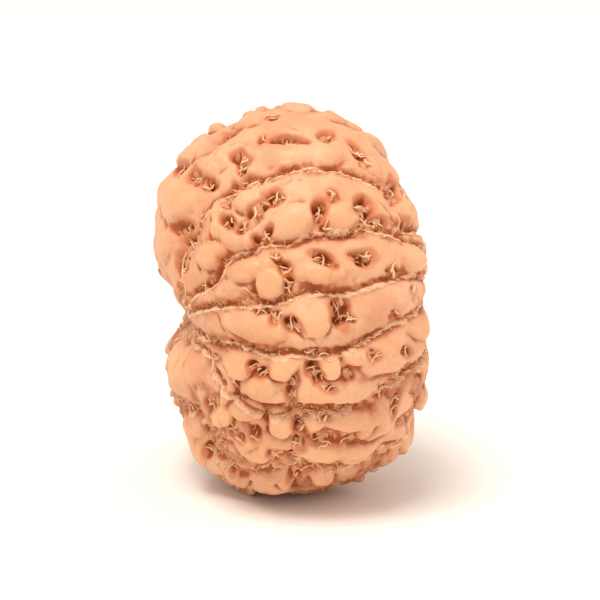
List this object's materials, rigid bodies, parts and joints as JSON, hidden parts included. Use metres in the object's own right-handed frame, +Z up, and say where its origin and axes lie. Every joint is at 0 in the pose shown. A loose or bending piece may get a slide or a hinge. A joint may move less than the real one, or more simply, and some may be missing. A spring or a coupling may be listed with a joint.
{
  "type": "rudraksha seed",
  "caption": "A whole rudraksha seed, pale tan, cut all round by sinuous grooves between lumpy pitted faces, standing on its rim.",
  "frame": {"origin": "middle of the bounding box, on the floor plane that the flat spot rests on", "axes": "+Z up, front is -Y; the line through the stalk end and the tip lies along X, stalk end at -X"},
  "size_m": [0.0216, 0.03, 0.0338],
  "materials": {
    "seed_skin": "satin, reddish brown in the grooves and pits"
  },
  "bodies": {
    "root": {"seed": "seed_skin"}
  },
  "joints": []
}
